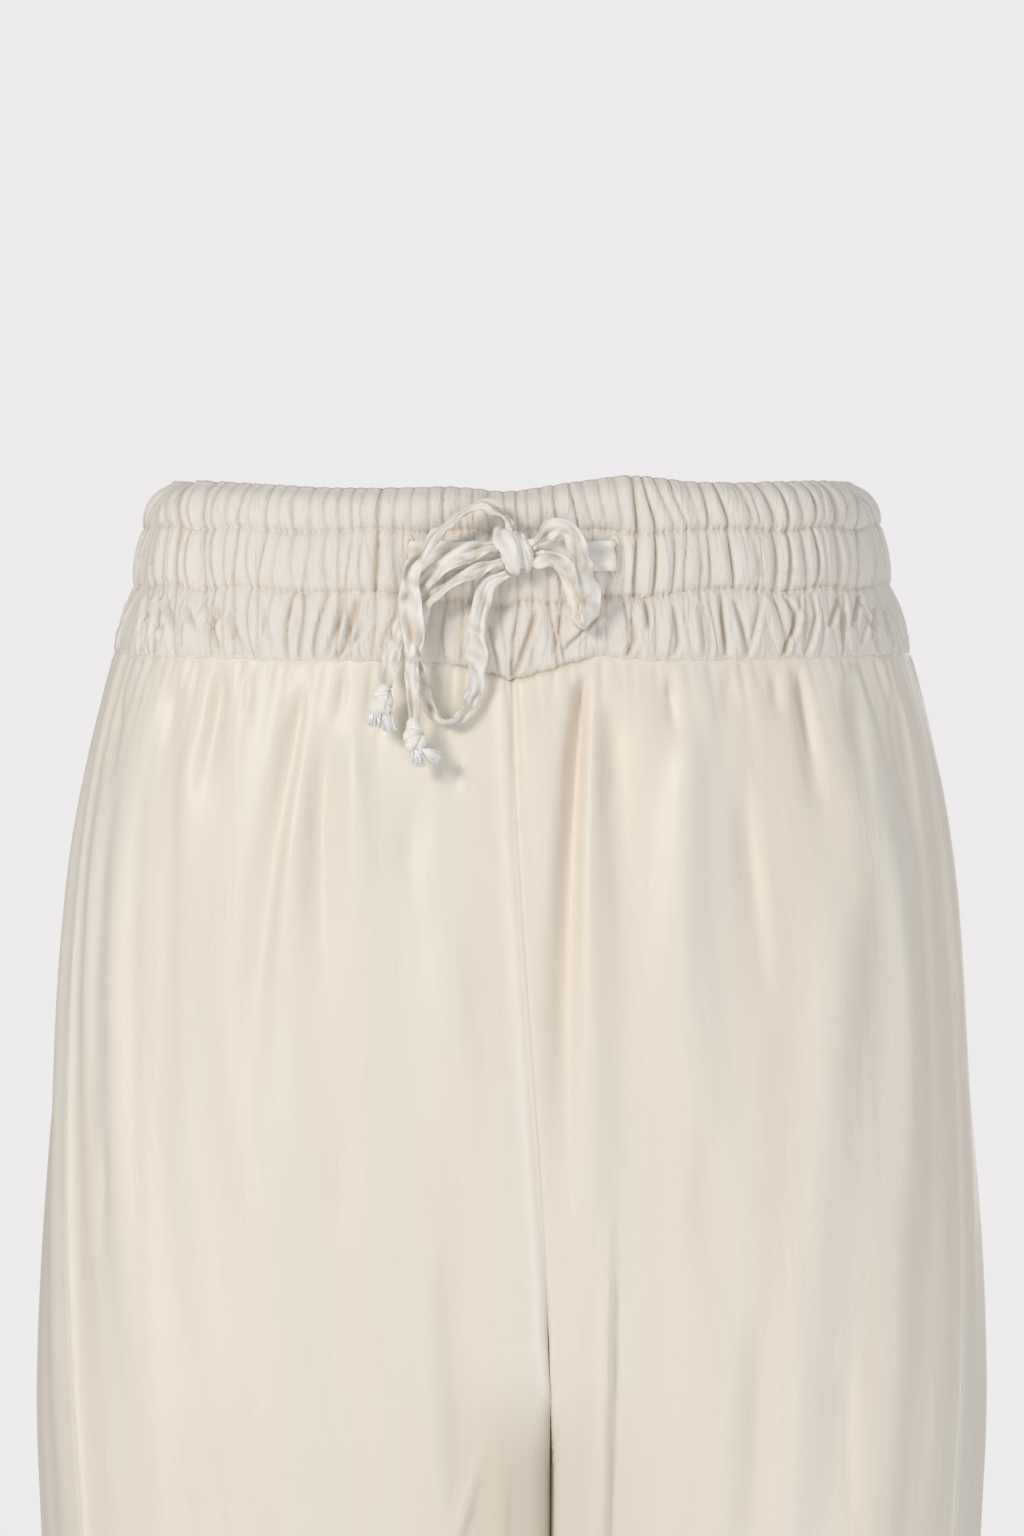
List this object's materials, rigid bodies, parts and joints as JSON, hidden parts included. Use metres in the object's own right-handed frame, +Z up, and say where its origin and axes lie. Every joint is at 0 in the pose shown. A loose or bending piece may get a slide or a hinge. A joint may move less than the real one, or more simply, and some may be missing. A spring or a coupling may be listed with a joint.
{
  "type": "trousers",
  "caption": "Loose drawstring trousers, filled out and hollow: full satin legs gathered into a wide, tiered elastic waistband, with a flat cord tied in a bow.",
  "frame": {"origin": "middle of the waist opening, level with the top edge of the waistband", "axes": "+Z up along the body, -Y to the wearer's front, +X to the wearer's left"},
  "size_m": [0.3795, 0.2702, 0.992],
  "materials": {
    "leg_satin": "soft satin",
    "band_crepe": "matt crepe",
    "drawstring_tape": "matt, creased"
  },
  "bodies": {
    "root": {"waistband_front": "band_crepe", "waistband_back": "band_crepe", "front_left_leg": "leg_satin", "front_right_leg": "leg_satin", "back_left_leg": "leg_satin", "back_right_leg": "leg_satin", "tape_left_of_knot": "drawstring_tape", "tape_right_of_knot": "drawstring_tape", "bow_knot": "drawstring_tape", "bow_loop_hanging": "drawstring_tape", "bow_loop_small": "drawstring_tape", "tape_end_short": "drawstring_tape", "tape_end_long": "drawstring_tape", "end_knot_short": "drawstring_tape", "end_knot_long": "drawstring_tape"}
  },
  "joints": []
}
